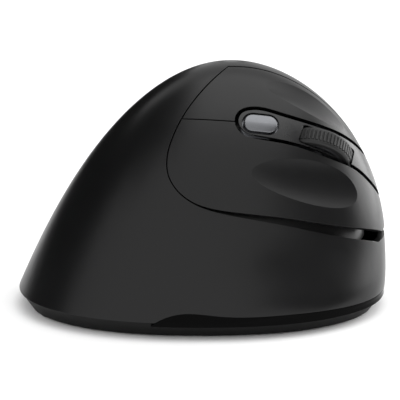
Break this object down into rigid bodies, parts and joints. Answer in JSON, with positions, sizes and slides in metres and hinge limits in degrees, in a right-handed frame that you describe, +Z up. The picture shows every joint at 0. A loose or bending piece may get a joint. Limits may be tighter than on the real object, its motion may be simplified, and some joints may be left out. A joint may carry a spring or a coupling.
{
  "type": "ergonomic mouse",
  "caption": "Right-handed vertical wireless mouse with hinged main buttons, a ribbed scroll wheel, a small oval resolution button, thumb keys and a battery bay in its base.",
  "frame": {"origin": "on the desk, under the middle of the outline's bounding box", "axes": "+Y to the finger end, +X to the flank that the fingers rest on, +Z up"},
  "size_m": [0.076, 0.1204, 0.0784],
  "materials": {
    "soft_touch": "matt soft-touch paint on ABS",
    "soft_touch_button": "matt soft-touch paint on ABS",
    "trim": "satin ABS",
    "base_abs": "spark-eroded ABS",
    "gloss_black": "polished piano black",
    "plated": "bright plated plastic",
    "wheel_rubber": "moulded ribbed rubber",
    "inner_plastic": "moulded acetal",
    "switch_plastic": "moulded PBT",
    "circuit_board": "green solder mask on glass-fibre laminate",
    "plug_plastic": "moulded nylon",
    "clear_lens": "clear moulded polycarbonate",
    "chip": "moulded epoxy",
    "ptfe": "smooth PTFE",
    "screw_steel": "zinc-plated steel",
    "spring_steel": "nickel-plated spring steel",
    "battery_wrap": "printed plastic sleeve over a steel can",
    "ribbon": "flat flexible cable"
  },
  "bodies": {
    "case": {"main_shell": "soft_touch", "centre_strip": "trim", "wheel_bracket": "inner_plastic", "wheel_switch": "switch_plastic", "lower_key_switch": "switch_plastic", "upper_key_switch": "switch_plastic", "dpi_switch": "switch_plastic", "button_board": "circuit_board", "lower_hinge_pin": "screw_steel", "upper_hinge_pin": "screw_steel", "thumb_board": "circuit_board", "thumb_switches": "switch_plastic", "base_tray": "base_abs", "gloss_inlay": "gloss_black", "glide_feet": "ptfe", "case_screws": "screw_steel", "battery": "battery_wrap", "battery_contact": "spring_steel", "battery_spring": "spring_steel", "main_board": "circuit_board", "sensor_chip": "chip", "sensor_lens": "clear_lens", "power_switch": "switch_plastic", "board_screws": "screw_steel", "main_plug": "plug_plastic", "button_plug": "plug_plastic", "ribbon_cable": "ribbon"},
    "upper_key": {"upper_button": "soft_touch_button"},
    "lower_key": {"lower_button": "soft_touch_button"},
    "resolution_key": {"dpi_button": "plated"},
    "wheel_yoke": {"wheel_carrier": "inner_plastic", "wheel_encoder": "switch_plastic"},
    "wheel": {"wheel_hub": "inner_plastic", "wheel_tyre": "wheel_rubber"},
    "thumb_forward": {"forward_key": "trim"},
    "thumb_back": {"back_key": "trim"},
    "door": {"battery_door": "base_abs"},
    "switch_knob": {"power_knob": "inner_plastic"}
  },
  "joints": [
    {"name": "upper_button_press", "type": "hinge", "parent": "case", "child": "upper_key", "pos_m": [0.00599, 0.00328, 0.06267], "axis": [-0.6874, 0.0112, 0.7262], "range_deg": [0, 0.6], "stiffness_Nm_per_rad": 0.6, "springref_deg": -1.15},
    {"name": "lower_button_press", "type": "hinge", "parent": "case", "child": "lower_key", "pos_m": [0.01853, 0.00313, 0.04226], "axis": [-0.4999, 0.0058, 0.8661], "range_deg": [0, 0.6], "stiffness_Nm_per_rad": 0.6, "springref_deg": -1.15},
    {"name": "dpi_press", "type": "slide", "parent": "case", "child": "resolution_key", "axis": [-0.7944, -0.0928, -0.6002], "range_m": [0, 0.0003], "stiffness_N_per_m": 2500, "springref_m": -0.0003},
    {"name": "wheel_click", "type": "slide", "parent": "case", "child": "wheel_yoke", "axis": [-0.6693, -0.484, -0.5638], "range_m": [0, 0.00035], "stiffness_N_per_m": 2500, "springref_m": -0.0003},
    {"name": "wheel_spin", "type": "hinge", "parent": "wheel_yoke", "child": "wheel", "pos_m": [0.00318, 0.03643, 0.05136], "axis": [-0.7097, 0.192, 0.6778], "continuous": true},
    {"name": "forward_key_press", "type": "slide", "parent": "case", "child": "thumb_forward", "axis": [1, 0, 0], "range_m": [0, 0.0004], "stiffness_N_per_m": 2000, "springref_m": -0.0003},
    {"name": "back_key_press", "type": "slide", "parent": "case", "child": "thumb_back", "axis": [1, 0, 0], "range_m": [0, 0.0004], "stiffness_N_per_m": 2000, "springref_m": -0.0003},
    {"name": "battery_door_open", "type": "hinge", "parent": "case", "child": "door", "pos_m": [-0.017, 0.0296, 0.0015], "axis": [1, 0, 0], "range_deg": [0, 60]},
    {"name": "power_knob_slide", "type": "slide", "parent": "case", "child": "switch_knob", "axis": [0, 1, 0], "range_m": [0, 0.0025]}
  ]
}
